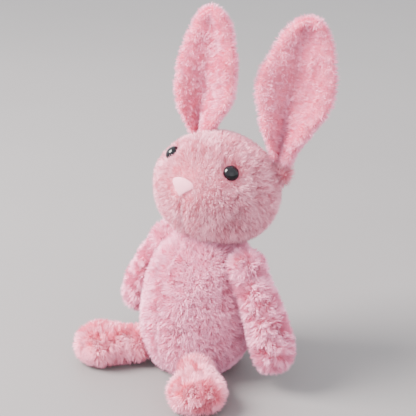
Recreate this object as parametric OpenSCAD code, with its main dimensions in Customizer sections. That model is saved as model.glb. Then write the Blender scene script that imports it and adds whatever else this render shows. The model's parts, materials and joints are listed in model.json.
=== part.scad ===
// Seated long-eared plush rabbit. Sewn plush skins over loose fill, limbs and ears on cloth roots.
// Millimetres. Z is up, the face looks along -Y, +X is the rabbit's left. The origin is the
// centre of the flat seat. Sizes are to the packed pile, about 3 mm inside the tips of the hair.

/* [Body] */
// Largest half width of the belly
belly_r = 43.5; // [34:0.5:52]
// Height of the widest part of the belly
belly_z = 47; // [38:0.5:58]
// Height of the closed top of the body, inside the neck
body_top_z = 109; // [98:0.5:122]
// Drop from the widest part to the point below the seat where the belly curve would close
belly_drop = 55; // [50:0.5:64]
// Backward lean of the body, in degrees
lean = 7; // [0:0.5:14]

/* [Head] */
// Half width of the head at the cheeks
head_w = 47; // [38:0.5:56]
// Half height of the head
head_h = 41; // [33:0.5:50]
// Height of the centre of the head
head_z = 139.5; // [128:0.5:155]
// Distance of the centre of the head behind the origin
head_y = 25; // [16:0.5:34]
// Upward pitch of the face, in degrees
head_pitch = 20; // [0:1:30]
// Roll of the head towards its left, in degrees
head_roll = 5.5; // [0:0.5:12]
// Turn of the face towards its left, in degrees
head_yaw = 8; // [0:0.5:15]
// Width of the strip sewn in over the top of the head
gusset_w = 34; // [20:1:44]

/* [Face] */
// Diameter of the eye domes
eye_d = 12; // [9:0.5:15]
// Distance of each eye from the middle of the face
eye_x = 28; // [22:0.5:34]
// Height of the eyes above the middle of the head
eye_z = 17.5; // [10:0.5:24]
// Width of the nose patch
nose_w = 21; // [14:0.5:28]
// Height of the nose patch
nose_h = 13; // [9:0.5:18]
// Distance of the nose below the middle of the head
nose_drop = 3; // [0:0.5:10]

/* [Neck] */
// Height of the middle of the neck
neck_z = 96; // [88:0.5:106]
// Distance of the middle of the neck behind the origin
neck_y = 14; // [8:0.5:20]
// Radius of the ball of fill in the neck
neck_core_r = 21; // [16:0.5:24]
// Thickness of the cloth tube around the neck fill
neck_cloth_t = 3; // [2:0.25:4]

/* [Arms] */
// Distance of each shoulder inside the widest part of the belly
shoulder_inset = 1; // [-7:0.5:8]
// Distance of the shoulders behind the origin
shoulder_y = 13; // [8:0.5:22]
// Height of the shoulders
shoulder_z = 88; // [78:0.5:98]
// Length of an arm from the shoulder to the end of the paw
arm_len = 89; // [72:0.5:106]
// Outward slope of the left arm as it hangs, in degrees
arm_slope_left = 24.5; // [18:0.5:40]
// Outward slope of the right arm as it hangs, in degrees
arm_slope_right = 31; // [18:0.5:40]
// Half width of an arm at the shoulder
arm_root_r = 10.5; // [8:0.25:13]
// Half width of the paw
paw_r = 14.5; // [12:0.25:18]
// Thickness of an arm as a part of its width
arm_flat = 0.86; // [0.7:0.02:1]

/* [Legs] */
// Distance of each hip inside the widest part of the belly
hip_inset = 0; // [-11:0.5:6]
// Height of the hips
hip_z = 14.5; // [12:0.25:20]
// Direction of the legs, in degrees from straight ahead
leg_splay = 46.5; // [20:0.5:60]
// Length of a leg from the hip to the end of the foot
leg_len = 54; // [48:0.5:80]
// Half width of the leg where it is gathered at the hip
leg_root_r = 9.5; // [8:0.25:10]
// Half width of the leg
leg_r = 13; // [10:0.25:14]
// Half width of the foot
foot_r = 22; // [18:0.25:28]
// Half height of the foot
foot_h = 14.5; // [12:0.25:22]

/* [Ears] */
// Length of an ear
ear_len = 116; // [98:1:150]
// Largest half width of an ear
ear_w = 29; // [20:0.5:34]
// Half width of the pinched root of an ear
ear_root_w = 8; // [6:0.5:11]
// Thickness of each sewn layer of an ear
ear_layer_t = 4.2; // [3:0.1:5.5]
// Depth of the hollow down the front of an ear
ear_cup = 9; // [3:0.5:14]
// Distance of each ear root from the middle of the head
ear_x = 33; // [26:0.5:38]
// Distance of the ear roots behind the middle of the head
ear_back = 17; // [10:0.5:24]
// Outward slope of the left ear on the head, in degrees
ear_slope_left = 0; // [-5:0.5:20]
// Outward slope of the right ear on the head, in degrees
ear_slope_right = -8; // [-12:0.5:20]
// Forward slope of the left ear on the head, in degrees
ear_forward_left = 8; // [0:0.5:25]
// Forward slope of the right ear on the head, in degrees
ear_forward_right = 24; // [0:0.5:25]
// Turn of the left ear outwards about its own length, in degrees
ear_turn_left = 22; // [0:1:35]
// Turn of the right ear outwards about its own length, in degrees
ear_turn_right = 0; // [-10:1:35]

/* [Tail] */
// Radius of the round tail
tail_r = 13; // [9:0.5:17]
// Height of the tail
tail_z = 30; // [22:0.5:40]

/* [Fit] */
// Thickness of the plush skins, cloth and packed pile together
skin_t = 3; // [2:0.25:4.5]
// Gap between a skin and the fill inside it
fill_gap = 0.4; // [0.2:0.05:1]
// Gap between two skins along a seam
seam_gap = 0.3; // [0.2:0.05:0.6]
// Gap between parts that turn against each other
turn_gap = 0.5; // [0.35:0.05:1]

/* [Hidden] */

pink = [0.91, 0.66, 0.72];
rose = [0.86, 0.45, 0.52];
wadding = [0.93, 0.92, 0.90];
cut = 400;                          // side of the blocks that split the skins
sides = 24;                         // sides of each soft form
ball_fn = 48;
low_steps = 7;                      // rings below the widest part of the body
high_steps = 8;                     // rings above it
low_round = 2.4;                    // how full the body is below and above
high_round = 1.7;
high_close = 2.2;
collar_slope = 10;                  // slope of the body's collar at the neck, in degrees
collar_reach = 70;
neck_socket_r = neck_core_r + neck_cloth_t + 2 * turn_gap;
neck_band = 38;                     // reach of the neck tube above and below level, in degrees
shoulder_x = belly_r - shoulder_inset; // distance of each shoulder from the middle
hip_out = belly_r - hip_inset;      // distance of each hip from the upright line through the seat
gather_over = 2;                    // the gathered root is this much rounder than the arm's root
shoulder_gather_r = arm_root_r + gather_over;
hip_gather_r = 10;
floor_gap = 0.2;                    // legs and feet stay this far above the floor
leg_grow = 14;                      // the leg is full this far from the hip
foot_half = foot_r * 0.85;          // half length of the foot
leg_mid = leg_len - foot_half;      // middle of the foot along the leg
crown_top = 85;                     // last ring angle near the poles of the head
stem_r = 2;
stem_gap = 0.25;
eye_sink = 0.8;                     // depth of the eye's seat in the plush
eye_high = 4.6;                     // height of the eye dome
washer_r = 7;
washer_t = 1.6;
washer_drop = 1.7;                  // the washer lies this far inside the skin
stem_end = 1;                       // the stem stands this far past its washer
patch_lift = 0.15;                  // gap under the nose patch
patch_t = 1.3;
tab_t = 2.4;                        // thickness of the ear's sewn tab
tab_roll_r = 2.4;                   // radius of the fold the ear turns on
tab_depth = 6.5;                    // length of the tab inside the head
fold_sides = 12;                    // flats round the sewn fold
tab_bury = 0.6;                     // the tab ends this far inside its fold
tab_part = 0.75;                    // width of the tab as a part of the root's width
ear_lift = 7.5;                     // height of the fold above the head
ear_wide_at = 0.50;                 // where along its length the ear is widest
layer_points = 8;                   // steps across one face of an ear layer
ear_steps = 12;
tail_lift = 7;                      // distance of the tail's middle behind the body

// ---------- soft forms ----------

function mix(a, b, t) = a + (b - a) * t;
function ease(t) = t * t * (3 - 2 * t);
function ring(z, rx, ry, cy = 0, low = -cut) =
    [for (i = [0:sides - 1]) let (a = 360 * i / sides)
        [rx * cos(a), max(cy + ry * sin(a), low), z]];

// Closed solid over a stack of rings, each of the same number of points.
module stack(rings) {
    n = len(rings[0]);
    m = len(rings);
    points = [for (r = rings) each r];
    walls = [for (j = [0:m - 2]) for (i = [0:n - 1]) let (k = (i + 1) % n)
        each [[j * n + i, (j + 1) * n + i, (j + 1) * n + k],
            [j * n + i, (j + 1) * n + k, j * n + k]]];
    base = [[for (i = [0:n - 1]) i]];
    crown = [[for (i = [n - 1:-1:0]) (m - 1) * n + i]];
    polyhedron(points = points, faces = concat(walls, base, crown), convexity = 6);
}

// ---------- body ----------

function body_high() = body_top_z - belly_z;
function body_r(z) = z < belly_z
    ? belly_r * pow(1 - pow((belly_z - z) / belly_drop, low_round), 1 / low_round)
    : belly_r * pow(1 - pow((z - belly_z) / body_high(), high_round), 1 / high_close);
function body_levels() = concat(
    [for (i = [0:low_steps]) belly_z * (1 - cos(90 * i / low_steps))],
    [for (i = [1:high_steps - 1]) belly_z + body_high() * sin(90 * i / high_steps)]);

// The whole body, drawn in by a distance all round.
module body_form(inset) {
    shrink = (belly_r - inset) / belly_r;
    stack([for (z = body_levels())
        let (r = body_r(z) * shrink,
            part = (z < belly_z ? belly_z - inset : body_high() - inset)
                / (z < belly_z ? belly_z : body_high()),
            h = belly_z + (z - belly_z) * part)
        ring(h, r, r, h * tan(lean))]);
}

module at_neck() translate([0, neck_y, neck_z]) children();
module at_side(side) mirror([side < 0 ? 1 : 0, 0, 0]) children();
module at_shoulder(side) at_side(side) translate([shoulder_x, shoulder_y, shoulder_z]) children();
module at_hip(side) at_side(side)
    rotate([0, 0, leg_splay]) translate([0, -hip_out, hip_z]) children();

// What the neck and the limbs leave free on the body.
module body_clearances() {
    at_neck() sphere(r = neck_socket_r, $fn = ball_fn);
    at_neck() rotate_extrude($fn = ball_fn)
        polygon([[0, 0], [collar_reach, -collar_reach * tan(collar_slope)],
            [collar_reach, collar_reach], [0, collar_reach]]);
    for (side = [-1, 1]) {
        at_shoulder(side) sphere(r = shoulder_gather_r + turn_gap, $fn = ball_fn);
        at_hip(side) sphere(r = hip_gather_r + turn_gap, $fn = ball_fn);
    }
}

module front_block() rotate([-lean, 0, 0])
    translate([-cut / 2, -cut - seam_gap / 2, -cut / 2]) cube(cut);
module back_block() rotate([-lean, 0, 0])
    translate([-cut / 2, seam_gap / 2, -cut / 2]) cube(cut);
module left_block() translate([seam_gap / 2, -cut / 2, -cut / 2]) cube(cut);
module right_block() translate([-cut - seam_gap / 2, -cut / 2, -cut / 2]) cube(cut);

module body_front(side) color(pink) difference() {
    intersection() {
        body_form(0);
        front_block();
        at_side(side) left_block();
    }
    body_form(skin_t);
    body_clearances();
}
module body_front_left() body_front(1);
module body_front_right() body_front(-1);
module body_back() color(pink) difference() {
    intersection() {
        body_form(0);
        back_block();
    }
    body_form(skin_t);
    body_clearances();
}
module body_fill() color(wadding) difference() {
    body_form(skin_t + fill_gap);
    body_clearances();
}

// ---------- neck ----------

module neck_fill() color(wadding) at_neck() sphere(r = neck_core_r, $fn = ball_fn);
module neck_cloth() color(rose) at_neck() rotate_extrude($fn = ball_fn)
    difference() {
        circle(r = neck_core_r + turn_gap + neck_cloth_t, $fn = 2 * ball_fn);
        circle(r = neck_core_r + turn_gap, $fn = 2 * ball_fn);
        translate([-cut, -cut / 2]) square([cut, cut]);
        translate([0, (neck_core_r + neck_cloth_t) * sin(neck_band)]) square(cut);
        translate([0, -cut - (neck_core_r + neck_cloth_t) * sin(neck_band)]) square(cut);
    }

// ---------- head ----------

module head_place() translate([0, head_y, head_z])
    rotate([-head_pitch, head_roll, head_yaw]) children();

module head_form(inset) {
    w = head_w - inset;
    h = head_h - inset;
    levels = concat([-crown_top], [for (a = [-75:15:75]) a], [crown_top]);
    stack([for (a = levels) ring(h * sin(a), w * cos(a), w * cos(a))]);
}

module gusset_block(gap) {
    half = gusset_w / 2 + gap;
    translate([-half, -cut / 2, -nose_drop - gap]) cube([2 * half, cut, cut]);
}

function eye_y() = -head_w * sqrt(1 - pow(eye_x / head_w, 2) - pow(eye_z / head_h, 2));
function eye_out() = [eye_x / pow(head_w, 2), eye_y() / pow(head_w, 2), eye_z / pow(head_h, 2)];
module at_eye(side) {
    n = eye_out();
    at_side(side) translate([eye_x, eye_y(), eye_z])
        rotate([0, acos(n[2] / norm(n)), atan2(n[1], n[0])]) children();
}

module eye_hole(side) at_eye(side) {
    translate([0, 0, -eye_sink - stem_gap])
        cylinder(r = eye_d / 2 + stem_gap, h = eye_high * 2, $fn = ball_fn);
    translate([0, 0, -skin_t * 2]) cylinder(r = stem_r + stem_gap, h = skin_t * 2, $fn = ball_fn);
}
module eye_pocket(side) at_eye(side)
    translate([0, 0, -skin_t - washer_drop - washer_t * 2])
        cylinder(r = washer_r + stem_gap, h = washer_t * 2 + skin_t, $fn = ball_fn);

module eye(side) color([0.03, 0.03, 0.04]) at_eye(side) rotate_extrude($fn = ball_fn) union() {
    intersection() {
        translate([0, -eye_sink]) scale([1, eye_high / (eye_d / 2)]) circle(d = eye_d, $fn = ball_fn);
        translate([0, -eye_sink]) square(eye_d);
    }
    translate([0, -skin_t - washer_drop - washer_t - stem_end])
        square([stem_r, skin_t + washer_drop + washer_t + stem_end]);
}
module eye_washer(side) color([0.8, 0.8, 0.78]) at_eye(side)
    translate([0, 0, -skin_t - washer_drop - washer_t]) difference() {
        cylinder(r = washer_r, h = washer_t, $fn = ball_fn);
        translate([0, 0, -1]) cylinder(r = stem_r + stem_gap, h = washer_t + 2, $fn = ball_fn);
    }

function ear_z() = head_h * sqrt(1 - (pow(ear_x, 2) + pow(ear_back, 2)) / pow(head_w, 2));
function ear_out() = [ear_x / pow(head_w, 2), ear_back / pow(head_w, 2), ear_z() / pow(head_h, 2)];
function ear_fold_at() = [ear_x, ear_back, ear_z()] + ear_out() * ear_lift / norm(ear_out());
module at_ear(side) at_side(side) translate(ear_fold_at())
    rotate([side > 0 ? ear_forward_left : ear_forward_right,
        side > 0 ? ear_slope_left : ear_slope_right, 0])
    rotate([0, 0, side > 0 ? ear_turn_left : ear_turn_right]) children();

// The roll of cloth that an ear turns on, with flats to a given radius.
module fold_roll(half, r) translate([-half, 0, 0]) rotate([0, 90, 0])
    linear_extrude(height = 2 * half)
        polygon([for (i = [0:fold_sides - 1]) let (a = 360 * (i + 0.5) / fold_sides)
            r / cos(180 / fold_sides) * [cos(a), sin(a)]]);

// The fold and its tab, grown by a gap where something has to clear it.
module ear_tab_form(side, gap) at_ear(side) {
    half = ear_root_w * tab_part + gap;
    fold_roll(half, tab_roll_r + gap);
    translate([-half, -tab_t / 2 - gap, -ear_lift - tab_depth - gap])
        cube([2 * half, tab_t + 2 * gap, ear_lift + tab_depth + gap + tab_bury]);
}

module head_clearances() {
    head_place() for (side = [-1, 1]) {
        eye_hole(side);
        ear_tab_form(side, seam_gap);
    }
    at_neck() sphere(r = neck_socket_r, $fn = ball_fn);
}

module cheek(side) color(pink) difference() {
    head_place() intersection() {
        head_form(0);
        at_side(side) left_block();
    }
    head_place() head_form(skin_t);
    head_place() gusset_block(seam_gap);
    head_clearances();
}
module cheek_left() cheek(1);
module cheek_right() cheek(-1);
module head_gusset() color(pink) difference() {
    head_place() intersection() {
        head_form(0);
        gusset_block(0);
    }
    head_place() head_form(skin_t);
    head_clearances();
}
module head_fill() color(wadding) difference() {
    head_place() head_form(skin_t + fill_gap);
    head_place() for (side = [-1, 1]) eye_pocket(side);
    head_clearances();
}
module eye_left() head_place() eye(1);
module eye_right() head_place() eye(-1);
module eye_washer_left() head_place() eye_washer(1);
module eye_washer_right() head_place() eye_washer(-1);

// A soft triangle with its point down, lying on the plush.
module nose_patch() color([0.94, 0.85, 0.87]) head_place() difference() {
    intersection() {
        head_form(-patch_lift - patch_t);
        translate([0, 0, -nose_drop + nose_h / 3]) rotate([90, 0, 0])
            linear_extrude(height = cut)
                polygon([[-nose_w / 2, nose_h * 0.1], [-nose_w * 0.4, nose_h * 0.3],
                    [nose_w * 0.4, nose_h * 0.3], [nose_w / 2, nose_h * 0.1],
                    [nose_w * 0.08, -nose_h * 0.7], [-nose_w * 0.08, -nose_h * 0.7]]);
    }
    head_form(-patch_lift);
}

// ---------- ears ----------

function ear_half(u) = u < ear_wide_at
    ? mix(ear_root_w, ear_w, pow(ease(u / ear_wide_at), 0.75))
    : ear_w * sqrt(1 - pow((u - ear_wide_at) / (1.008 - ear_wide_at), 1.6));

// One sewn layer; face is -1 for the front layer and 1 for the back.
module ear_layer(side, face) color(pink) head_place() difference() {
    at_ear(side) stack([for (j = [0:ear_steps])
        let (u = sin(90 * j / ear_steps), half = ear_half(u))
        concat(
            [for (i = [0:layer_points]) let (v = 2 * i / layer_points - 1)
                ear_point(half, v, seam_gap / 2, u, face)],
            [for (i = [layer_points:-1:0]) let (v = 2 * i / layer_points - 1)
                ear_point(half, v, seam_gap / 2 + ear_layer_t * sqrt(1 - 0.8 * v * v), u, face)])]);
    at_ear(side) fold_roll(ear_root_w + ear_layer_t, tab_roll_r + turn_gap);
}
function ear_point(half, v, out, u, face) =
    [half * v * face, face * out - ear_cup * pow(half * v / ear_w, 2), u * ear_len];

module ear_tab_left() color(rose) head_place() ear_tab_form(1, 0);
module ear_tab_right() color(rose) head_place() ear_tab_form(-1, 0);
module ear_front_left() ear_layer(1, -1);
module ear_back_left() ear_layer(1, 1);
module ear_front_right() ear_layer(-1, -1);
module ear_back_right() ear_layer(-1, 1);

// ---------- arms ----------

// A limb with round ends that grows from its root to its end.
function limb_rings(length, root, end, flat, inset) = concat(
    [for (a = [15, 45, 70]) ring(-(root - inset) * cos(a), flat * (root - inset) * sin(a),
        (root - inset) * sin(a))],
    [for (i = [0:5]) let (u = i / 5, r = mix(root, end, ease(u)) - inset)
        ring(u * (length - end), flat * r, r)],
    [for (a = [20, 42, 62, 78]) ring(length - end + (end - inset) * sin(a),
        flat * (end - inset) * cos(a), (end - inset) * cos(a))]);

module arm_place(side) at_shoulder(side) rotate([0,
    180 - (side > 0 ? arm_slope_left : arm_slope_right), 0]) children();
module arm_form(inset) stack(limb_rings(arm_len, arm_root_r, paw_r, arm_flat, inset));
module shoulder_room(side) at_shoulder(side)
    sphere(r = shoulder_gather_r + turn_gap, $fn = ball_fn);

module arm_skin(side, face) color(pink) difference() {
    arm_place(side) intersection() {
        arm_form(0);
        at_side(face) left_block();
    }
    arm_place(side) arm_form(skin_t);
    shoulder_room(side);
}
module arm_fill(side) color(wadding) difference() {
    arm_place(side) arm_form(skin_t + fill_gap);
    shoulder_room(side);
}
module shoulder_gather(side) color(rose) at_shoulder(side)
    sphere(r = shoulder_gather_r, $fn = ball_fn);
module arm_inner_left() arm_skin(1, 1);
module arm_outer_left() arm_skin(1, -1);
module arm_inner_right() arm_skin(-1, 1);
module arm_outer_right() arm_skin(-1, -1);
module arm_fill_left() arm_fill(1);
module arm_fill_right() arm_fill(-1);
module shoulder_gather_left() shoulder_gather(1);
module shoulder_gather_right() shoulder_gather(-1);

// ---------- legs ----------

function foot_part(q) = sqrt(max(0, 1 - q * q));
function leg_tube(s) = mix(leg_root_r, leg_r, ease(min(1, s / leg_grow)));
function join(a, b) = pow(pow(a, 4) + pow(b, 4), 0.25);

// The leg lies along its own Z and swells into the foot; it is flat where it meets the floor.
module leg_form(inset) {
    half = foot_half - inset;
    root = leg_root_r - inset;
    low = floor_gap + inset - hip_z;
    rise = foot_h + floor_gap - hip_z;
    stack(concat(
        [for (a = [15, 45, 70]) ring(-root * cos(a), root * sin(a), root * sin(a), 0, low)],
        [for (s = [0, 5, 10]) let (r = leg_tube(s) - inset) ring(s, r, r, 0, low)],
        [for (a = [-80, -62, -44, -26, -8, 10, 28, 46, 62, 77])
            let (q = sin(a), s = leg_mid + half * q,
                tube = (leg_tube(s) - inset) * (a < 0 ? 1 : foot_part(q)))
            ring(s, join(tube, (foot_r - inset) * foot_part(q)),
                join(tube, (foot_h - inset) * foot_part(q)), rise * foot_part(q), low)]));
}
module leg_place(side) at_hip(side) rotate([90, 0, 0]) children();
module hip_room(side) at_hip(side) sphere(r = hip_gather_r + turn_gap, $fn = ball_fn);

module leg_skin(side, face) color(pink) difference() {
    leg_place(side) intersection() {
        leg_form(0);
        at_side(face) left_block();
    }
    leg_place(side) leg_form(skin_t);
    hip_room(side);
}
module leg_fill(side) color(wadding) difference() {
    leg_place(side) leg_form(skin_t + fill_gap);
    hip_room(side);
}
module hip_gather(side) color(rose) at_hip(side) sphere(r = hip_gather_r, $fn = ball_fn);
module leg_outer_left() leg_skin(1, 1);
module leg_inner_left() leg_skin(1, -1);
module leg_outer_right() leg_skin(-1, 1);
module leg_inner_right() leg_skin(-1, -1);
module leg_fill_left() leg_fill(1);
module leg_fill_right() leg_fill(-1);
module hip_gather_left() hip_gather(1);
module hip_gather_right() hip_gather(-1);

// ---------- tail ----------

module at_tail() translate([0, tail_z * tan(lean) + body_r(tail_z) + tail_lift, tail_z]) children();
module tail_form(inset) at_tail()
    stack([for (a = [-75:15:75]) let (r = tail_r - inset) ring(r * sin(a), r * cos(a), r * cos(a))]);
module tail_skin() color(pink) difference() {
    tail_form(0);
    tail_form(skin_t);
    body_form(-seam_gap);
}
module tail_fill() color(wadding) difference() {
    tail_form(skin_t + fill_gap);
    body_form(-seam_gap);
}

// ---------- drawing ----------

body_front_left();
body_front_right();
body_back();
body_fill();
neck_fill();
neck_cloth();
cheek_left();
cheek_right();
head_gusset();
head_fill();
eye_left();
eye_right();
eye_washer_left();
eye_washer_right();
nose_patch();
ear_tab_left();
ear_front_left();
ear_back_left();
ear_tab_right();
ear_front_right();
ear_back_right();
shoulder_gather_left();
arm_outer_left();
arm_inner_left();
arm_fill_left();
shoulder_gather_right();
arm_outer_right();
arm_inner_right();
arm_fill_right();
hip_gather_left();
leg_outer_left();
leg_inner_left();
leg_fill_left();
hip_gather_right();
leg_outer_right();
leg_inner_right();
leg_fill_right();
tail_skin();
tail_fill();
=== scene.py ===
"""Seated long-eared plush rabbit: fur skins, pile, ears, eyes and nose over the CAD frame."""

import json
import math

import bmesh
import bpy
from mathutils import Euler, Matrix, Vector, noise


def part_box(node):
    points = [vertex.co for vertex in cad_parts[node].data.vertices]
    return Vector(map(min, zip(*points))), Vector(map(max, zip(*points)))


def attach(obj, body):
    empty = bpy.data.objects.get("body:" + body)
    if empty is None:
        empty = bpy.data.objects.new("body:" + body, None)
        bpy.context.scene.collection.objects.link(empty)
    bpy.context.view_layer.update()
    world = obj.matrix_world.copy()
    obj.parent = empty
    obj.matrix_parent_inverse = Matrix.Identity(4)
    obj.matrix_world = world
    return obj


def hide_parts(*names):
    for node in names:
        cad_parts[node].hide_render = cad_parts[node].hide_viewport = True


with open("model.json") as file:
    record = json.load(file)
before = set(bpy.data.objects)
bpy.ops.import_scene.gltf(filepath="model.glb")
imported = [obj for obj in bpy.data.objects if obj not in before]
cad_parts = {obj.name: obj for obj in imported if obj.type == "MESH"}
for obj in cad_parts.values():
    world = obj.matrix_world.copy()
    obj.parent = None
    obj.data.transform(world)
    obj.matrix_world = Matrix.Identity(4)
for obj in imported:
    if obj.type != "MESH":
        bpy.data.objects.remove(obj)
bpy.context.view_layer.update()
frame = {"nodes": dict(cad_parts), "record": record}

MM = 0.001
SIDES = {"left": 1, "right": -1}
joints = {j["name"]: j for j in frame["record"]["behaviour"]["joints"]}

# ---------- sizes, in millimetres unless said ----------

FLOOR_CLEAR = 0.3                   # nothing reaches lower than this
SWELL_FRAMES = 14
SWELL_PRESSURE = 3.0

BELLY_R = 41.4
BELLY_Z = 47.0
BODY_TOP = 109.0
BELLY_DROP = 52.0
BELLY_FULL = 2.4                    # roundness below the widest part
CHEST_FULL = 2.3                    # roundness above it
CHEST_CLOSE = 2.0                   # how fast it closes to the neck
LEAN = math.tan(math.radians(7.0))  # step back for each step up
SEAT_Z = 1.5
SEAT_PART = 0.16                    # part of the skin's length that is the flat seat

HEAD_AT = Vector((0.0, 25.0, 139.5))
HEAD_TURN = Euler((math.radians(-20.0), math.radians(5.5), math.radians(8.0)), "XYZ")
HEAD_W = 44.8
HEAD_H = 39.0
MUZZLE_W = 20.0
MUZZLE_H = 15.0
MUZZLE_LOW = 5.0                    # its middle lies this far below the head's
MUZZLE_OUT = 2.5
NOSE_DROP = 3.0                     # the nose lies this far below the head's middle
NOSE_TIP_W = 2.8
NOSE_TOP_W = 12.0
NOSE_HALF_H = 7.0
NOSE_LIFT = 1.6
NOSE_PUFF = 0.64
NOSE_BED = Vector((47.0, 47.0, 41.0))  # half sizes of the plush that the nose lies on
EYE_IN_HEAD = Vector((28.0, -32.0, 17.5))

ARM_LEN = 79.0
ARM_SLOPE = {"left": math.radians(24.5), "right": math.radians(31.0)}
ARM_ROOT_R = 11.0
ARM_BOW = 3.5
PAW_R = 12.8
ARM_FLAT = 0.92                     # its thickness as a part of its width
ROOT_PART = 0.2                     # part of a limb's skin that rounds its root
PAW_PART = 0.25                     # part that rounds its end
LEG_LEN = 48.5
FOOT_R = 18.4
FOOT_H = {"left": 7.5, "right": 10.5}
LEG_R = {"left": 9.6, "right": 11.0}
LEG_SINK = {"left": 2.4, "right": 0.8}
FOOT_HALF = 17.0
SHOULDER_R = 11.5
HIP_R = 9.0
NECK_R = 22.0
NECK_H = 14.0
TAIL_R = 9.0
EAR_ROOT_R = 5.5


def point_of(joint):
    """Pivot of a joint, in millimetres."""
    return Vector(joints[joint]["pos_m"]) * 1000.0


def axis_of(joint):
    return Vector(joints[joint]["axis"]).normalized()


def mix(a, b, t):
    return a + (b - a) * t


def ease(t):
    t = min(max(t, 0.0), 1.0)
    return t * t * (3.0 - 2.0 * t)


# ---------- shader maths ----------

class Value:
    """A number flowing through a material, written as ordinary arithmetic."""

    def __init__(self, maker, out):
        self.maker = maker
        self.out = out

    def _math(self, op, *terms):
        return self.maker.number("ShaderNodeMath", {"operation": op}, list(terms))

    def __add__(self, other):
        return self._math("ADD", self, other)

    def __radd__(self, other):
        return self._math("ADD", other, self)

    def __mul__(self, other):
        return self._math("MULTIPLY", self, other)

    def __rmul__(self, other):
        return self._math("MULTIPLY", other, self)

    def smooth(self, low, high):
        return self.maker.number("ShaderNodeMapRange", {"interpolation_type": "SMOOTHSTEP"},
                                 [self, low, high, 0.0, 1.0])


class Paint:
    """One material and the nodes that make its look."""

    def __init__(self, name, rough, sheen=0.0):
        self.material = bpy.data.materials.new(name)
        self.material.use_nodes = True
        self.nodes = self.material.node_tree.nodes
        self.links = self.material.node_tree.links
        self.shader = self.nodes["Principled BSDF"]
        self.shader.inputs["Roughness"].default_value = rough
        self.shader.inputs["Sheen Weight"].default_value = sheen
        self.shader.inputs["Sheen Roughness"].default_value = 0.5

    def node(self, kind, settings, values):
        made = self.nodes.new(kind)
        for key, value in settings.items():
            setattr(made, key, value)
        for key, value in (values.items() if isinstance(values, dict) else enumerate(values)):
            if isinstance(value, Value):
                self.links.new(value.out, made.inputs[key])
            elif value is not None:
                made.inputs[key].default_value = value
        return made

    def number(self, kind, settings, values):
        return Value(self, self.node(kind, settings, values).outputs[0])

    def blend(self, factor, first, second):
        made = self.node("ShaderNodeMix", {"data_type": "RGBA"},
                         {"Factor": factor, 6: first, 7: second})
        return Value(self, made.outputs[2])

    def set(self, socket, value):
        if isinstance(value, Value):
            self.links.new(value.out, self.shader.inputs[socket])
        else:
            self.shader.inputs[socket].default_value = value

    def place(self):
        return Value(self, self.node("ShaderNodeTexCoord", {}, []).outputs["Object"])

    def grain(self, scale, detail=2.0, rough=0.5):
        return self.number("ShaderNodeTexNoise", {},
                           {"Vector": self.place(), "Scale": scale, "Detail": detail,
                            "Roughness": rough})

    def bump(self, height, strength, distance):
        made = self.node("ShaderNodeBump", {}, {"Height": height, "Strength": strength,
                                                "Distance": distance})
        self.links.new(made.outputs[0], self.shader.inputs["Normal"])


def shade(red, green, blue):
    """A colour given as it looks on a screen, 0 to 255."""
    def linear(c):
        c = c / 255.0
        return c / 12.92 if c <= 0.04045 else ((c + 0.055) / 1.055) ** 2.4
    return (linear(red), linear(green), linear(blue), 1.0)


def pile_paint(name, root, middle, tip):
    """Hair that is deep pink at the cloth and pale at its tips; U holds its tone, V runs up it."""
    paint = Paint(name, 0.85, 0.1)
    split = paint.node("ShaderNodeSeparateXYZ", {}, [])
    uv = paint.node("ShaderNodeUVMap", {"uv_map": "OFBake"}, [])
    paint.links.new(uv.outputs[0], split.inputs[0])
    tone = Value(paint, split.outputs[0])
    height = Value(paint, split.outputs[1])
    low = paint.blend(height.smooth(0.0, 0.55), root, middle)
    full = paint.blend(height.smooth(0.40, 1.0), low, tip)
    dark = paint.node("ShaderNodeVectorMath", {"operation": "SCALE"}, [])
    paint.links.new(full.out, dark.inputs[0])
    paint.links.new((0.80 + 0.32 * tone).out, dark.inputs["Scale"])
    paint.set("Base Color", Value(paint, dark.outputs[0]))
    return paint.material


def cloth_paint(name, low, high):
    """Knitted backing of the fur, seen only in the partings."""
    paint = Paint(name, 0.9, 0.3)
    knit = paint.grain(900.0, 1.0)
    paint.set("Base Color", paint.blend(paint.grain(60.0), low, high))
    paint.bump(knit, 0.3, 0.0006)
    return paint.material


# ---------- forms ----------

def finish_mesh(name, bm, material, smooth=True):
    bmesh.ops.recalc_face_normals(bm, faces=bm.faces[:])
    mesh = bpy.data.meshes.new(name)
    bm.to_mesh(mesh)
    bm.free()
    if smooth:
        mesh.shade_smooth()
    mesh.materials.append(material)
    obj = bpy.data.objects.new(name, mesh)
    bpy.context.scene.collection.objects.link(obj)
    return obj


def closed_form(name, place, material, around=40, along=30):
    """A ball whose every point is moved by place(t, angle) to its spot in millimetres."""
    bm = bmesh.new()
    bmesh.ops.create_uvsphere(bm, u_segments=around, v_segments=along, radius=1.0)
    for v in bm.verts:
        t = math.acos(max(-1.0, min(1.0, -v.co.z))) / math.pi
        v.co = place(t, math.atan2(v.co.y, v.co.x)) * MM
    return finish_mesh(name, bm, material)


def keep_off_floor(obj, height=FLOOR_CLEAR):
    for v in obj.data.vertices:
        v.co.z = max(v.co.z, height * MM)


def applied(obj):
    """Bake the modifiers of an object into its mesh."""
    graph = bpy.context.evaluated_depsgraph_get()
    mesh = bpy.data.meshes.new_from_object(obj.evaluated_get(graph), depsgraph=graph)
    old = obj.data
    name = old.name
    obj.modifiers.clear()
    obj.data = mesh
    bpy.data.meshes.remove(old)
    mesh.name = name


def rumple(obj, depth, size, seed):
    """Shallow uneven dents, as the loose fill leaves them."""
    shift = Vector((seed, 0.0, 0.0))
    for v in obj.data.vertices:
        v.co += v.normal * (depth * MM * noise.noise(v.co / (size * MM) + shift))


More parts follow.
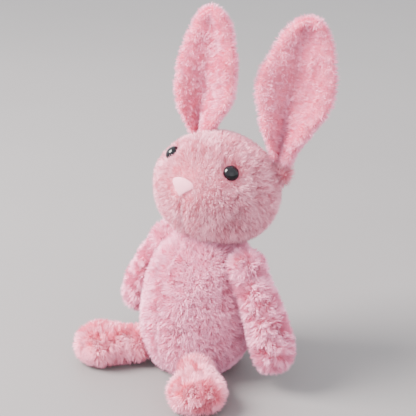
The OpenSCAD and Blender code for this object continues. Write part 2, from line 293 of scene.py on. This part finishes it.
def swell(obj, cap, voxel=4.5):
    """Cloth simulation: the sewn skin fills out and wrinkles, no point moving more than cap."""
    remesh = obj.modifiers.new("even", "REMESH")
    remesh.mode = "VOXEL"
    remesh.voxel_size = voxel * MM
    remesh.use_smooth_shade = True
    applied(obj)
    before = [v.co.copy() for v in obj.data.vertices]
    cloth = obj.modifiers.new("cloth", "CLOTH")
    cloth.settings.quality = 5
    cloth.settings.mass = 0.2
    cloth.settings.tension_stiffness = 12
    cloth.settings.compression_stiffness = 12
    cloth.settings.bending_stiffness = 0.4
    cloth.settings.use_pressure = True
    cloth.settings.uniform_pressure_force = SWELL_PRESSURE
    cloth.settings.effector_weights.gravity = 0.0
    cloth.collision_settings.use_collision = False
    cloth.point_cache.frame_start = 1
    cloth.point_cache.frame_end = SWELL_FRAMES
    for step in range(1, SWELL_FRAMES + 1):
        bpy.context.scene.frame_set(step)
    applied(obj)
    bpy.context.scene.frame_set(1)
    for v, old in zip(obj.data.vertices, before):
        move = v.co - old
        if move.length > cap * MM:
            v.co = old + move.normalized() * (cap * MM)
    finer = obj.modifiers.new("finer", "SUBSURF")
    finer.levels = 1
    finer.render_levels = 1
    applied(obj)


def pull_in(obj, depth, width, distance):
    """Draw the skin in along a seam; distance gives a point's distance from it in millimetres."""
    for v in obj.data.vertices:
        d = distance(v.co / MM)
        if d is not None and d < width:
            v.co -= v.normal * (depth * MM * (1.0 - ease(d / width)))


# ---------- pile ----------

def lock(name, length, width, bend, lean_side):
    """One lock of hair: a tapering blade that curls over towards +Y."""
    bm = bmesh.new()
    bmesh.ops.create_grid(bm, x_segments=1, y_segments=3, size=0.5)
    uv = bm.loops.layers.uv.new("OFBake")
    for v in bm.verts:
        t = v.co.y + 0.5
        across = v.co.x * width * (1.0 - t ** 2.2) + lean_side * t * t
        v.co = Vector((across, bend * t * t, length * (t - 0.22 * t * t))) * MM
    tips = [v for v in bm.verts if v.co.z > 0.77 * length * MM]
    bmesh.ops.pointmerge(bm, verts=tips, merge_co=sum((v.co for v in tips), Vector()) / len(tips))
    for face in bm.faces:
        for loop in face.loops:
            t = min(1.0, max(0.0, loop.vert.co.z / (0.78 * length * MM)))
            loop[uv].uv = (0.002 + 0.002 * (loop.vert.co.x > lean_side * t * t * MM), 0.02 + 0.96 * t)
    mesh = bpy.data.meshes.new(name)
    bm.to_mesh(mesh)
    bm.free()
    mesh.shade_smooth()
    return bpy.data.objects.new(name, mesh)


class Tree:
    """A geometry node tree built by calls."""

    def __init__(self, name):
        self.tree = bpy.data.node_groups.new(name, "GeometryNodeTree")
        self.tree.interface.new_socket("Geometry", in_out="INPUT", socket_type="NodeSocketGeometry")
        self.tree.interface.new_socket("Geometry", in_out="OUTPUT", socket_type="NodeSocketGeometry")
        self.entry = self.tree.nodes.new("NodeGroupInput").outputs[0]
        self.exit = self.tree.nodes.new("NodeGroupOutput").inputs[0]

    def node(self, kind, settings, values):
        made = self.tree.nodes.new(kind)
        for key, value in settings.items():
            setattr(made, key, value)
        for key, value in values.items():
            if isinstance(value, bpy.types.NodeSocket):
                self.tree.links.new(value, made.inputs[key])
            else:
                made.inputs[key].default_value = value
        return made

    def math(self, op, *terms):
        return self.node("ShaderNodeMath", {"operation": op}, dict(enumerate(terms))).outputs[0]

    def vector(self, op, *terms):
        return self.node("ShaderNodeVectorMath", {"operation": op}, dict(enumerate(terms))).outputs[0]

    def scaled(self, vector, factor):
        return self.node("ShaderNodeVectorMath", {"operation": "SCALE"},
                         {0: vector, "Scale": factor}).outputs[0]

    def attribute(self, name, kind):
        return self.node("GeometryNodeInputNamedAttribute", {"data_type": kind},
                         {"Name": name}).outputs[0]

    def chance(self, low, high, seed):
        made = self.node("FunctionNodeRandomValue", {"data_type": "FLOAT"}, {2: low, 3: high})
        made.inputs["Seed"].default_value = seed
        return made.outputs[1]

    def waves(self, scale, seed):
        """A slowly varying vector about zero."""
        place = self.node("GeometryNodeInputPosition", {}, {}).outputs[0]
        moved = self.vector("ADD", place, (seed * 0.37, seed * 0.11, seed * 0.23))
        colour = self.node("ShaderNodeTexNoise", {}, {"Vector": moved, "Scale": scale,
                                                      "Detail": 1.0}).outputs["Color"]
        return self.vector("SUBTRACT", colour, (0.5, 0.5, 0.5))


def pile(name, skin, material, locks, per_mm2, seed, stand=1.0, lay=1.0, tuft=0.12, fine=0.2,
         floor=True):
    """Scatter locks of hair over a skin and make them one mesh. The skin carries groom and reach."""
    t = Tree(name + " scatter")
    reach = t.attribute("reach", "FLOAT")
    groom = t.attribute("groom", "FLOAT_VECTOR")
    spots = t.node("GeometryNodeDistributePointsOnFaces", {"distribute_method": "RANDOM"},
                   {"Mesh": t.entry, "Seed": seed})
    cover = t.attribute("cover", "FLOAT")
    t.tree.links.new(t.math("MULTIPLY", cover, per_mm2 * 1.0e6), spots.inputs["Density"])
    big = t.waves(62.0, seed)
    small = t.waves(210.0, seed + 3)
    up = t.scaled(spots.outputs["Normal"], stand)
    along = t.vector("ADD", up, t.scaled(groom, lay))
    astray = t.vector("ADD", t.scaled(big, tuft), t.scaled(small, fine))
    way = t.vector("ADD", along, astray)
    stood = t.node("FunctionNodeAlignRotationToVector", {"axis": "Z"}, {"Vector": way}).outputs[0]
    side = t.vector("SUBTRACT", groom, t.scaled(spots.outputs["Normal"], 0.6))
    turned = t.node("FunctionNodeAlignRotationToVector", {"axis": "Y", "pivot_axis": "Z"},
                    {"Rotation": stood, "Vector": side}).outputs[0]
    twist = t.node("FunctionNodeRotateRotation", {"rotation_space": "LOCAL"}, {"Rotation": turned})
    spin = t.node("ShaderNodeCombineXYZ", {}, {"Z": t.chance(-0.9, 0.9, seed + 5)}).outputs[0]
    euler = t.node("FunctionNodeEulerToRotation", {}, {0: spin}).outputs[0]
    t.tree.links.new(euler, twist.inputs[1])
    size = t.math("MULTIPLY", reach, t.chance(0.72, 1.12, seed + 7))
    store = t.node("GeometryNodeCollectionInfo", {}, {"Collection": locks,
                                                      "Separate Children": True,
                                                      "Reset Children": True}).outputs[0]
    placed = t.node("GeometryNodeInstanceOnPoints", {}, {
        "Points": spots.outputs["Points"], "Instance": store, "Pick Instance": True,
        "Rotation": twist.outputs[0]})
    t.tree.links.new(size, placed.inputs["Scale"])
    shade_wave = t.node("ShaderNodeSeparateXYZ", {}, {0: big}).outputs[0]
    tone = t.math("ADD", t.math("MULTIPLY", shade_wave, 0.25), t.chance(0.2, 0.8, seed + 9))
    tone = t.node("ShaderNodeClamp", {}, {"Value": tone, "Min": 0.02, "Max": 0.97}).outputs[0]
    marked = t.node("GeometryNodeStoreNamedAttribute", {"data_type": "FLOAT", "domain": "INSTANCE"},
                    {"Geometry": placed.outputs[0], "Name": "tone", "Value": tone}).outputs[0]
    real = t.node("GeometryNodeRealizeInstances", {}, {0: marked}).outputs[0]
    shift = t.node("ShaderNodeCombineXYZ", {}, {"X": t.attribute("tone", "FLOAT")}).outputs[0]
    place = t.vector("ADD", t.attribute("OFBake", "FLOAT_VECTOR"), shift)
    mapped = t.node("GeometryNodeStoreNamedAttribute", {"data_type": "FLOAT2", "domain": "CORNER"},
                    {"Geometry": real, "Name": "OFBake", "Value": place}).outputs[0]
    if floor:
        spot = t.node("GeometryNodeInputPosition", {}, {}).outputs[0]
        lifted = t.vector("MAXIMUM", spot, (-10.0, -10.0, FLOOR_CLEAR * MM))
        mapped = t.node("GeometryNodeSetPosition", {}, {"Geometry": mapped,
                                                        "Position": lifted}).outputs[0]
    t.tree.links.new(mapped, t.exit)
    made = bpy.data.objects.new(name, skin.data.copy())
    bpy.context.scene.collection.objects.link(made)
    made.modifiers.new("scatter", "NODES").node_group = t.tree
    applied(made)
    mesh = made.data
    mesh.name = name
    mesh.materials.clear()
    mesh.materials.append(material)
    for extra in [a.name for a in mesh.attributes if a.name in ("tone", "reach", "groom", "cover")]:
        mesh.attributes.remove(mesh.attributes[extra])
    bpy.data.node_groups.remove(t.tree)
    return made


def comb(obj, rule):
    """Store the lie, length and cover of the pile; rule(point, normal) gives them."""
    mesh = obj.data
    lie = mesh.attributes.new("groom", "FLOAT_VECTOR", "POINT")
    reach = mesh.attributes.new("reach", "FLOAT", "POINT")
    cover = mesh.attributes.new("cover", "FLOAT", "POINT")
    for i, v in enumerate(mesh.vertices):
        way, size, amount = rule(v.co / MM, v.normal)
        lie.data[i].vector = way
        reach.data[i].value = size
        cover.data[i].value = amount


def tangent(way, normal):
    """The part of a direction that lies in the surface."""
    flat = way - normal * way.dot(normal)
    return flat.normalized() if flat.length > 1e-6 else flat


# ---------- materials ----------

body_hair = pile_paint("body fur", shade(247, 138, 170), shade(254, 166, 197), shade(255, 183, 212))
head_hair = pile_paint("head fur", shade(232, 138, 158), shade(243, 164, 183), shade(249, 181, 200))
ear_hair = pile_paint("ear fur", shade(250, 136, 168), shade(255, 160, 192), shade(255, 177, 208))
leg_hair = pile_paint("leg fur", shade(244, 124, 150), shade(253, 152, 176), shade(255, 174, 198))
backing = cloth_paint("fur backing", shade(240, 136, 160), shade(246, 156, 178))
seam_cloth = cloth_paint("seam cloth", shade(236, 140, 160), shade(242, 160, 178))


def nose_paint():
    paint = Paint("nose velour", 0.6, 0.5)
    nap = paint.grain(1400.0, 2.0)
    paint.set("Base Color", paint.blend(paint.grain(260.0), shade(220, 134, 154), shade(229, 150, 170)))
    paint.bump(nap, 0.35, 0.0004)
    return paint.material


def eye_paint():
    paint = Paint("eye plastic", 0.10)
    paint.set("Specular IOR Level", 0.3)
    cloud = paint.grain(90.0, 3.0)
    paint.set("Base Color", paint.blend(cloud, shade(6, 5, 8), shade(16, 14, 20)))
    return paint.material


nose_velour = nose_paint()
eye_plastic = eye_paint()
washer_plastic = cloth_paint("washer plastic", shade(222, 222, 215), shade(230, 230, 224))
wadding = cloth_paint("wadding", shade(236, 234, 230), shade(244, 243, 240))

# ---------- skins ----------

UP = Vector((0.0, 0.0, 1.0))
HEAD = Matrix.Translation(HEAD_AT) @ HEAD_TURN.to_matrix().to_4x4()
TO_HEAD = HEAD.inverted()


def body_half(z):
    """Half width of the body at a height."""
    if z < BELLY_Z:
        return BELLY_R * max(0.0, 1.0 - ((BELLY_Z - z) / BELLY_DROP) ** BELLY_FULL) ** (1 / BELLY_FULL)
    rise = (z - BELLY_Z) / (BODY_TOP - BELLY_Z)
    return BELLY_R * max(0.0, 1.0 - rise ** CHEST_FULL) ** (1 / CHEST_CLOSE)


def body_place(t, angle):
    """The pear of the body, flat where it sits."""
    if t < SEAT_PART:
        z = SEAT_Z
        r = body_half(SEAT_Z) * math.sin(t / SEAT_PART * math.pi / 2)
    else:
        s = (t - SEAT_PART) / (1.0 - SEAT_PART)
        z = mix(SEAT_Z, BODY_TOP, (1.0 - math.cos(math.pi * s)) / 2.0)
        r = body_half(z)
    return Vector((r * math.cos(angle), r * math.sin(angle) + z * LEAN, z))


def head_place(t, angle):
    """The round head; the muzzle stands a little forward and the brow is a little flat."""
    a = math.pi * (t - 0.5)
    p = Vector((HEAD_W * math.cos(a) * math.cos(angle), HEAD_W * math.cos(a) * math.sin(angle),
                HEAD_H * math.sin(a)))
    front = max(0.0, -p.y / HEAD_W)
    muzzle = math.exp(-((p.x / MUZZLE_W) ** 2 + ((p.z + MUZZLE_LOW) / MUZZLE_H) ** 2)) * front
    p.y -= MUZZLE_OUT * muzzle
    return HEAD @ p


def limb_place(length, root, end, flat, bow):
    """A round-ended limb along its own Z, bowed outwards; its X points to the body."""
    def place(t, angle):
        if t < ROOT_PART:
            q = (t / ROOT_PART - 1.0) * math.pi / 2
            s = root * math.sin(q)
            r = root * math.cos(q)
        elif t > 1.0 - PAW_PART:
            q = (t - 1.0 + PAW_PART) / PAW_PART * math.pi / 2
            s = length - end + end * math.sin(q)
            r = end * math.cos(q)
        else:
            u = (t - ROOT_PART) / (1.0 - ROOT_PART - PAW_PART)
            s = u * (length - end)
            r = mix(root, end, ease(u))
        side = -bow * math.sin(math.pi * min(1.0, max(0.0, s / length)))
        return Vector((flat * r * math.cos(angle) + side, r * math.sin(angle), s))
    return place


def ball_place(at, radius):
    """A plain ball about a point."""
    def place(t, angle):
        a = math.pi * (t - 0.5)
        return at + Vector((math.cos(a) * math.cos(angle), math.cos(a) * math.sin(angle),
                            math.sin(a))) * radius
    return place


def frame_along(at, way, across):
    """A frame at a point with Z along a direction and X as near as can be to another."""
    z = way.normalized()
    x = (across - z * across.dot(z)).normalized()
    y = z.cross(x)
    m = Matrix((x, y, z)).transposed().to_4x4()
    return Matrix.Translation(at) @ m


def arm_frame(side):
    at = point_of(f"arm_spread_{side}")
    sign = SIDES[side]
    way = Vector((sign * math.sin(ARM_SLOPE[side]), 0.0, -math.cos(ARM_SLOPE[side])))
    return frame_along(at, way, Vector((-sign, 0.0, 0.0)))


def leg_frame(side):
    at = point_of(f"leg_lift_{side}")
    way = UP.cross(axis_of(f"leg_lift_{side}")) * -1.0
    way = Vector((SIDES[side] * abs(way.x), -abs(way.y), 0.0))
    return frame_along(at, way, way.cross(UP))


def leg_place(side):
    """The leg lies on the floor and swells into the foot; the left foot lies squashed flatter."""
    leg_r = LEG_R[side]

    def place(t, angle):
        s = mix(-leg_r, LEG_LEN, (1.0 - math.cos(math.pi * t)) / 2.0)
        q = (s - (LEG_LEN - FOOT_HALF)) / FOOT_HALF
        foot = math.sqrt(max(0.0, 1.0 - q * q)) if q > -1.0 else 0.0
        tube = leg_r * math.sqrt(max(0.0, 1.0 - (s / leg_r) ** 2)) if s < 0.0 else leg_r
        tube *= foot if q > 0.0 else 1.0
        wide = (tube ** 4 + (FOOT_R * foot) ** 4) ** 0.25
        high = (tube ** 4 + (FOOT_H[side] * foot) ** 4) ** 0.25
        return Vector((wide * math.cos(angle), high * math.sin(angle) + LEG_SINK[side] * foot, s))
    return place


def moved(frame_of, place):
    return lambda t, angle: frame_of @ place(t, angle)


body_skin = closed_form("body_skin", body_place, backing)
keep_off_floor(body_skin, SEAT_Z)
swell(body_skin, 4.0)
rumple(body_skin, 1.4, 22.0, 3.0)
keep_off_floor(body_skin, 1.0)
head_skin = closed_form("head_skin", head_place, backing)
swell(head_skin, 4.0)
rumple(head_skin, 1.0, 18.0, 8.0)
arms = {}
legs = {}
shoulders = {}
hips = {}
for side in SIDES:
    arm_shape = limb_place(ARM_LEN, ARM_ROOT_R, PAW_R, ARM_FLAT, ARM_BOW)
    arm = closed_form(f"arm_skin_{side}", moved(arm_frame(side), arm_shape), backing, 28, 30)
    swell(arm, 3.0)
    rumple(arm, 1.6, 16.0, 12.0)
    arms[side] = arm
    leg = closed_form(f"leg_skin_{side}", moved(leg_frame(side), leg_place(side)), backing, 32, 30)
    keep_off_floor(leg, 1.5)
    swell(leg, 3.0)
    rumple(leg, 1.4, 14.0, 17.0)
    keep_off_floor(leg, 1.0)
    legs[side] = leg
    shoulder = ball_place(point_of(f"arm_spread_{side}"), SHOULDER_R)
    shoulders[side] = closed_form(f"shoulder_skin_{side}", shoulder, backing, 20, 14)
    hip = ball_place(point_of(f"leg_lift_{side}"), HIP_R)
    hips[side] = closed_form(f"hip_skin_{side}", hip, backing, 20, 14)

neck_at = point_of("head_nod")


def neck_place(t, angle):
    """The short gathered band between head and body."""
    a = math.pi * (t - 0.5)
    r = NECK_R * math.cos(a)
    return neck_at + Vector((r * math.cos(angle), r * math.sin(angle), NECK_H * math.sin(a)))


neck_skin = closed_form("neck_skin", neck_place, backing, 28, 16)

EAR_LEN = 111.0
EAR_ROOT = 12.0
EAR_WIDE = 29.5
EAR_THICK = 2.7
EAR_WIDE_AT = 0.50
FOLD_TOP = math.radians(18.0)
FOLD_END = 0.62
EAR_SIDES = {
    "left": {"curl": 3.0, "crease": -0.12, "sway": 0.0, "fold": math.radians(66.0)},
    "right": {"curl": 5.0, "crease": -0.12, "sway": 6.0, "fold": math.radians(52.0)},
}


def ear_half(u):
    """Half width of the ear's cloth, laid flat, along its length."""
    if u < EAR_WIDE_AT:
        return mix(EAR_ROOT, EAR_WIDE, ease(u / EAR_WIDE_AT) ** 0.5)
    return EAR_WIDE * math.sqrt(max(0.0, 1.0 - ((u - EAR_WIDE_AT) / (1.0 - EAR_WIDE_AT)) ** 1.6))


def ear_frame(side):
    """Frame of an ear at its fold: Z along it, X across it, Y to its back."""
    joint = f"ear_fold_{side}"
    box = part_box(f"ear_back_{side}")
    at = point_of(joint)
    across = axis_of(joint)
    middle = (box[0] + box[1]) / 2.0 * 1000.0
    way = middle - at
    way -= across * way.dot(across)
    return frame_along(at, way, across)


def ear_place(side):
    """Two layers of cloth folded forwards along the middle, deepest at the root, with padded rims."""
    settings = EAR_SIDES[side]
    frame_of = ear_frame(side)

    def place(t, angle):
        u = (1.0 - math.cos(math.pi * t)) / 2.0
        half = ear_half(u)
        if u < 0.02:
            half *= math.sqrt(u / 0.02)
        across = math.cos(angle)
        fold = mix(settings["fold"], FOLD_TOP, ease(u / FOLD_END))
        off = (across - settings["crease"]) * half
        soft = math.sqrt(off * off + 3.0) - math.sqrt(3.0)
        x = settings["crease"] * half + off * math.cos(fold) + settings["sway"] * math.sin(math.pi * u)
        y = -soft * math.sin(fold)
        lean = math.copysign(fold, off) * min(1.0, abs(off) / 4.0)
        out = Vector((math.sin(lean), math.cos(lean), 0.0))
        rim = 0.7 + 0.9 * ease((abs(across) - 0.35) / 0.45)
        thick = EAR_THICK * rim * math.sin(angle) * min(1.0, half / 6.0)
        dent = 1.6 * math.exp(-((u - 0.42) / 0.07) ** 2) * math.exp(-((across + 0.1) / 0.6) ** 2)
        hook = -5.0 * ease((u - 0.86) / 0.14) ** 2
        z = u * EAR_LEN + 3.0
        y += dent + hook - settings["curl"] * math.sin(math.pi * u) + 4.0 * (1.0 - ease(u / 0.25))
        return frame_of @ (Vector((x, y, z)) + out * thick)
    return place


ears = {}
ear_roots = {}
for side in SIDES:
    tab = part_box(f"ear_tab_{side}")
    low_end = (tab[0] + tab[1]) / 2.0 * 1000.0
    ear_roots[side] = closed_form(f"ear_root_skin_{side}", ball_place(low_end, EAR_ROOT_R), backing, 20, 14)
    ears[side] = closed_form(f"ear_skin_{side}", ear_place(side), backing, 48, 44)
    rumple(ears[side], 1.4, 15.0, 21.0 + SIDES[side])

tail_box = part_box("tail_skin")
TAIL_AT = (tail_box[0] + tail_box[1]) / 2.0 * 1000.0
tail_skin = closed_form("tail_skin_cloth", ball_place(TAIL_AT, TAIL_R), backing, 20, 14)

# ---------- seams ----------

CHIN_SEAM_TOP = -8.0                # heights and widths in the head's own frame
BROW_SEAM_X = 17.0
BROW_SEAM_LOW = -2.0


def body_seam(p):
    return abs(p.x) if p.y < p.z * LEAN else None


def chin_seam(p):
    q = TO_HEAD @ p
    return abs(q.x) if q.y < 0.0 and q.z < CHIN_SEAM_TOP else None


def brow_seam(p):
    q = TO_HEAD @ p
    return abs(abs(q.x) - BROW_SEAM_X) if q.z > BROW_SEAM_LOW else None


pull_in(body_skin, 1.6, 5.0, body_seam)
pull_in(head_skin, 2.0, 5.0, chin_seam)
pull_in(head_skin, 1.2, 4.0, brow_seam)

# ---------- lie of the pile ----------

NOSE_LOCAL = Vector((0.0, -HEAD_W - 2.0, -NOSE_DROP))
EYES_LOCAL = [Vector((s * EYE_IN_HEAD.x, EYE_IN_HEAD.y, EYE_IN_HEAD.z)) for s in (1, -1)]
EYE_BARE = 5.0                      # no hair nearer to an eye than this
NOSE_BARE = Vector((8.0, 0.0, 5.0))
NECK_BARE = 16.0                    # no hair on the head this near to the neck's middle
HEAD_LOW_Z = 103.0
COLLAR_Z = 106.0                    # the body's hair ends here, under the head
PARTING = 6.0                       # half width of the parting down the front


def comb_body(p, n):
    """Down the body, parting a little at the front seam; bare on the seat and under the head."""
    down = tangent(Vector((0.0, -0.1, -1.0)), n)
    if abs(p.x) < PARTING and p.y < p.z * LEAN:
        down += Vector((math.copysign(0.35, p.x), 0.0, 0.0))
    on_seat = p.z < 1.0 + SEAT_Z and n.z < -0.8
    cover = 0.0 if on_seat or p.z > COLLAR_Z else 1.0
    return down, 1.0, cover


def comb_head(p, n):
    """Out from the nose over the whole head, shorter on the face and round the eyes."""
    q = TO_HEAD @ p
    away = HEAD.to_3x3() @ (q - NOSE_LOCAL)
    way = tangent(away, n)
    sag = tangent(Vector((0.0, 0.0, -1.0)), n) * 0.25
    if q.y < 0.0 and -30.0 < q.z < CHIN_SEAM_TOP and abs(q.x) < 5.0:
        sag += tangent(HEAD.to_3x3() @ Vector((math.copysign(1.6, q.x), 0.0, 0.0)), n)
    reach = 0.45 + 0.55 * ease((q - NOSE_LOCAL).length / 42.0)
    near = min((q - e).length for e in EYES_LOCAL)
    reach *= 0.45 + 0.55 * ease((near - EYE_BARE) / 7.0)
    at_nose = abs(q.x) < NOSE_BARE.x and abs(q.z + NOSE_DROP) < NOSE_BARE.z and q.y < -35.0
    at_neck = p.z < HEAD_LOW_Z and (p - neck_at).length < NECK_BARE
    cover = 0.0 if near < EYE_BARE or at_nose or at_neck else 1.0
    return way + sag, reach, cover


def comb_limb(way, root):
    """Along a limb to its end; bare behind its root."""
    def rule(p, n):
        along = (p - root).dot(way)
        cover = 1.0 if along > -6.0 else 0.0
        return tangent(way, n), 1.0, cover
    return rule


def comb_leg(side):
    """Along the leg, turning in a whorl over the sole; thin underneath."""
    frame_of = leg_frame(side)
    back = frame_of.inverted()

    def rule(p, n):
        q = back @ p
        whorl = Vector((-q.y, q.x, 0.0)).normalized() if q.z > 15.0 else Vector()
        spread = Vector((q.x, q.y, 0.0)) * 0.02
        way = frame_of.to_3x3() @ (UP + whorl * 0.6 + spread)
        cover = 0.25 if n.z < -0.75 else 1.0
        if q.z < -2.0:
            cover = 0.0
        return tangent(way, n), 1.0, cover
    return rule


def comb_ear(side):
    """Up the ear and out to its rims, shorter on its inner face."""
    frame_of = ear_frame(side)
    back = frame_of.inverted()

    def rule(p, n):
        q = back @ p
        out = Vector((math.copysign(min(1.0, abs(q.x) / 20.0) * 0.5, q.x), 0.0, 1.0))
        way = tangent(frame_of.to_3x3() @ out, n)
        inner = (back.to_3x3() @ n).y < 0.0
        reach = 0.6 if inner else 0.75
        return way, reach, 1.0 if q.z > 0.0 else 0.4
    return rule


LOCKS = [
    {"length": 8.0, "width": 0.56, "bend": 2.2, "lean_side": 0.5},
    {"length": 8.8, "width": 0.46, "bend": 2.8, "lean_side": -0.6},
    {"length": 7.2, "width": 0.62, "bend": 1.6, "lean_side": -0.2},
    {"length": 8.4, "width": 0.50, "bend": 2.4, "lean_side": 0.9},
]
locks = bpy.data.collections.new("locks")
for k, kind in enumerate(LOCKS):
    locks.objects.link(lock(f"lock_{k}", **kind))

DENSITY = 3.6  # locks on a square millimetre
LOCKS_IN_A_PIECE = 36000


def dress(name, skin, rule, material, seed, body, nodes, fill=0.8, **settings):
    """Comb a skin, scatter its pile and let both ride a body in place of its CAD nodes."""
    comb(skin, rule)
    area = sum(face.area for face in skin.data.polygons) / (MM * MM)
    layers = max(1, math.ceil(area * DENSITY / LOCKS_IN_A_PIECE))
    for layer in range(layers):
        fur = pile(f"{name}_{layer}", skin, material, locks, DENSITY / layers, seed + 100 * layer,
                   **settings)
        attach(fur, body)
    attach(skin, body)
    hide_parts(*nodes)


dress("body_pile", body_skin, comb_body, body_hair, 11, "body",
      ["body_front_left", "body_front_right", "body_back", "body_fill"], stand=0.75)
dress("head_pile", head_skin, comb_head, head_hair, 23, "head",
      ["cheek_left", "cheek_right", "head_gusset", "head_fill"], stand=0.8, tuft=0.15, fine=0.3)
dress("neck_pile", neck_skin, comb_limb(Vector((0.0, 0.0, -1.0)), neck_at + UP * 30.0), body_hair, 29,
      "neck", ["neck_cloth"])
dress("tail_pile", tail_skin, comb_limb(Vector((0.0, 0.3, -1.0)), TAIL_AT + UP * 20.0), body_hair, 31,
      "body", ["tail_skin", "tail_fill"])
for number, side in enumerate(SIDES):
    away = arm_frame(side).to_3x3() @ UP
    shoulder_at = point_of(f"arm_spread_{side}")
    dress(f"arm_pile_{side}", arms[side], comb_limb(away, shoulder_at), body_hair, 41 + number,
          f"arm_{side}", [f"arm_outer_{side}", f"arm_inner_{side}", f"arm_fill_{side}"],
          stand=0.7, tuft=0.12, fine=0.18)
    dress(f"shoulder_pile_{side}", shoulders[side], comb_limb(away, shoulder_at - away * 20.0),
          body_hair, 45 + number, f"shoulder_{side}", [f"shoulder_gather_{side}"])
    dress(f"leg_pile_{side}", legs[side], comb_leg(side), leg_hair, 51 + number, f"leg_{side}",
          [f"leg_outer_{side}", f"leg_inner_{side}", f"leg_fill_{side}"], stand=0.85, tuft=0.3, fine=0.35)
    ahead = leg_frame(side).to_3x3() @ UP
    dress(f"hip_pile_{side}", hips[side], comb_limb(ahead, point_of(f"leg_lift_{side}") - ahead * 20.0),
          leg_hair, 55 + number, f"hip_{side}", [f"hip_gather_{side}"])
    dress(f"ear_pile_{side}", ears[side], comb_ear(side), ear_hair, 61 + number, f"ear_{side}",
          [f"ear_front_{side}", f"ear_back_{side}"], fill=0.2, stand=0.6)
    dress(f"ear_root_pile_{side}", ear_roots[side],
          comb_limb(ear_frame(side).to_3x3() @ UP, point_of(f"ear_fold_{side}") - UP * 30.0), head_hair,
          65 + number, "head", [f"ear_tab_{side}"], fill=0.3)

# ---------- face ----------

def nose_place(t, angle):
    """A soft flat triangle, its point down, lying on the muzzle."""
    r = math.sin(math.pi * t) ** 0.8
    x = math.cos(angle) * r
    z = math.sin(angle) * r
    top = (z + 1.0) / 2.0
    wide = mix(NOSE_TIP_W, NOSE_TOP_W, ease(top * 1.1))
    flat = Vector((x * wide, 0.0, z * NOSE_HALF_H - NOSE_DROP))
    bed = 1.0 - (flat.x / NOSE_BED.x) ** 2 - (flat.z / NOSE_BED.z) ** 2
    under = -math.sqrt(max(0.0, bed)) * NOSE_BED.y
    puff = math.cos(math.pi * t) * NOSE_PUFF
    flat.y = under - NOSE_LIFT + puff
    return HEAD @ flat


nose = closed_form("nose", nose_place, nose_velour, 36, 16)
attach(nose, "head")
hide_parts("nose_patch")

# ---------- carried-over CAD parts ----------

for name, thing in frame["nodes"].items():
    if name.startswith("eye_washer"):
        look = washer_plastic
    elif name.startswith("eye_"):
        look = eye_plastic
    elif name.endswith("fill") or "_fill_" in name:
        look = wadding
    else:
        look = seam_cloth
    thing.data.materials.clear()
    thing.data.materials.append(look)

# ---------- floor, light and camera ----------


def floor_paint():
    paint = Paint("floor", 0.55)
    paint.set("Base Color", paint.blend(paint.grain(3.0), shade(112, 107, 107), shade(119, 114, 114)))
    return paint.material


bm = bmesh.new()
bmesh.ops.create_circle(bm, cap_ends=True, segments=96, radius=4.0)
floor = finish_mesh("floor", bm, floor_paint(), smooth=False)

world = bpy.data.worlds.new("room")
world.use_nodes = True
world.node_tree.nodes["Background"].inputs[0].default_value = shade(224, 227, 230)
world.node_tree.nodes["Background"].inputs[1].default_value = 2.85
bpy.context.scene.world = world


def soft_light(name, at, size, watts, colour):
    """A square lamp turned to the middle of the toy."""
    lamp = bpy.data.lights.new(name, "AREA")
    lamp.size = size
    lamp.energy = watts
    lamp.color = colour
    holder = bpy.data.objects.new(name, lamp)
    holder.location = at
    holder.rotation_mode = "QUATERNION"
    holder.rotation_quaternion = (Vector((0.0, 0.0, 0.12)) - Vector(at)).to_track_quat("-Z", "Y")
    bpy.context.scene.collection.objects.link(holder)


soft_light("window", (-0.9, -0.9, 1.3), 0.9, 178.0, (1.0, 0.98, 0.95))
soft_light("fill", (1.2, -0.6, 0.6), 1.2, 5.0, (0.95, 0.97, 1.0))

CAMERA_AZIMUTH = math.radians(45.0)
CAMERA_HEIGHT = math.radians(20.0)
CAMERA_AWAY = 0.9
CAMERA_RIGHT = 0.0104
CAMERA_UP = 0.1216
CAMERA_LENS = 97.36

camera_data = bpy.data.cameras.new("camera")
camera_data.lens = CAMERA_LENS
camera_data.sensor_width = 36.0
camera = bpy.data.objects.new("camera", camera_data)
bpy.context.scene.collection.objects.link(camera)
back = Vector((math.sin(CAMERA_AZIMUTH) * math.cos(CAMERA_HEIGHT),
               -math.cos(CAMERA_AZIMUTH) * math.cos(CAMERA_HEIGHT), math.sin(CAMERA_HEIGHT)))
right = Vector((math.cos(CAMERA_AZIMUTH), math.sin(CAMERA_AZIMUTH), 0.0))
camera.location = back * CAMERA_AWAY + right * CAMERA_RIGHT + back.cross(right) * CAMERA_UP
camera.rotation_mode = "QUATERNION"
camera.rotation_quaternion = back.to_track_quat("Z", "Y")
bpy.context.scene.camera = camera
